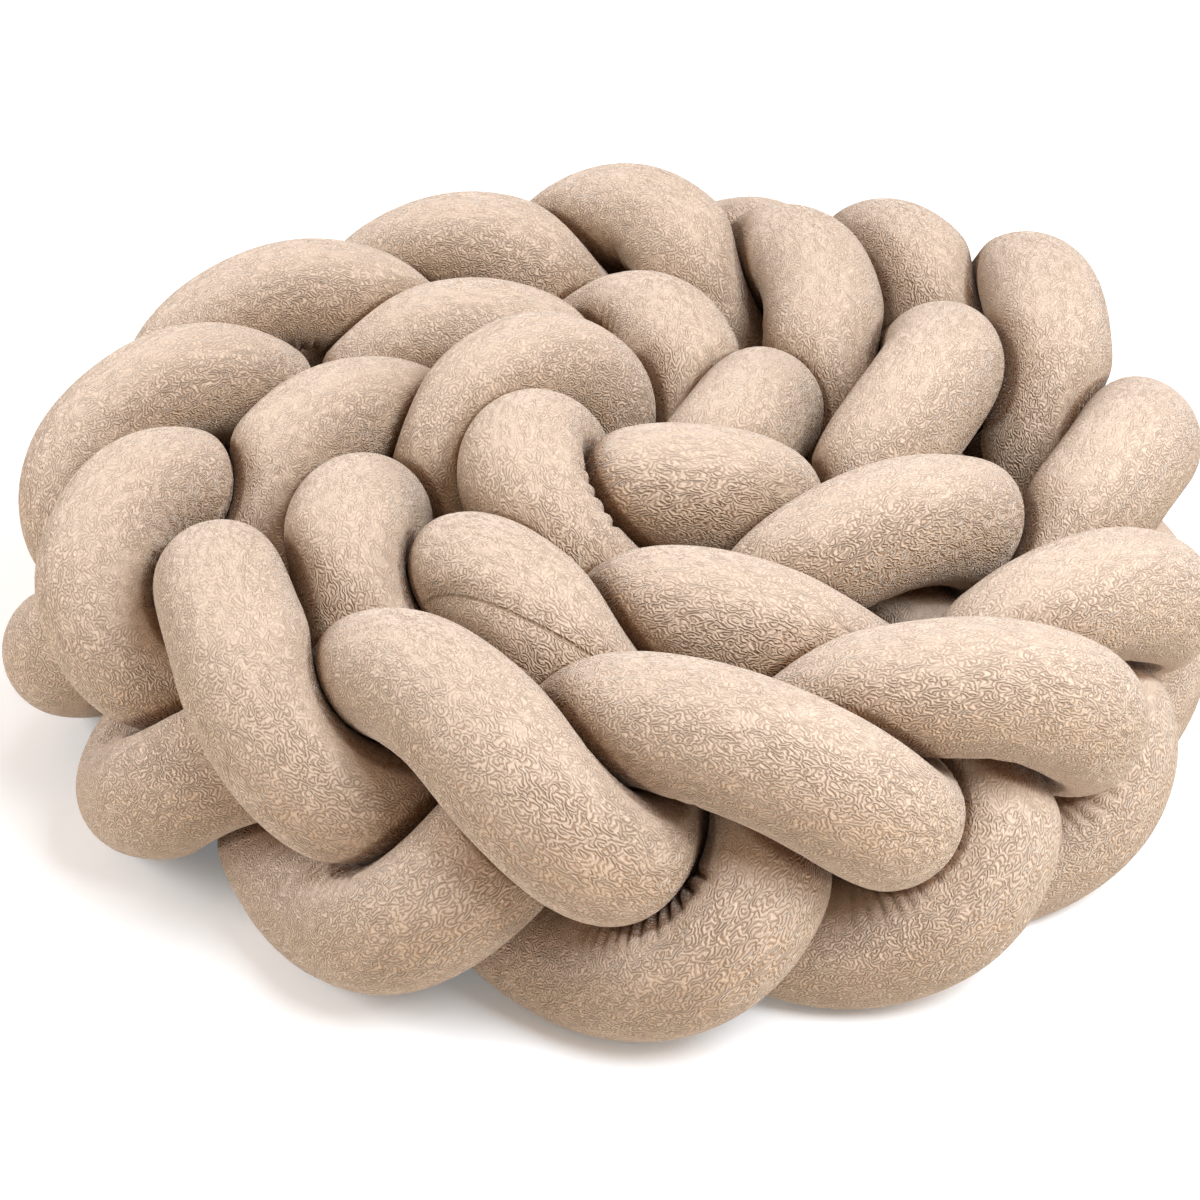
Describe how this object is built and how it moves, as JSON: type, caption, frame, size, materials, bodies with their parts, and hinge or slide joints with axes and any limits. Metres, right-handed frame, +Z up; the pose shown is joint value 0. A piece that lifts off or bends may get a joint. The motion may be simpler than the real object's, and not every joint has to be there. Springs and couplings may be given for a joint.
{
  "type": "braided crib bumper",
  "caption": "Long soft bumper of stuffed plush tubes plaited together, standing on its edge and coiled into a spiral.",
  "frame": {"origin": "bottom centre of the part's box, on the surface that the coil stands on", "axes": "+Z up out of the surface; the picture looks along +Y from the front and above"},
  "size_m": [0.6654, 0.7128, 0.2191],
  "materials": {
    "plush": "soft matte plush with a fine crinkled emboss"
  },
  "bodies": {
    "root": {"tube_a": "plush", "tube_b": "plush", "tube_c": "plush"}
  },
  "joints": []
}
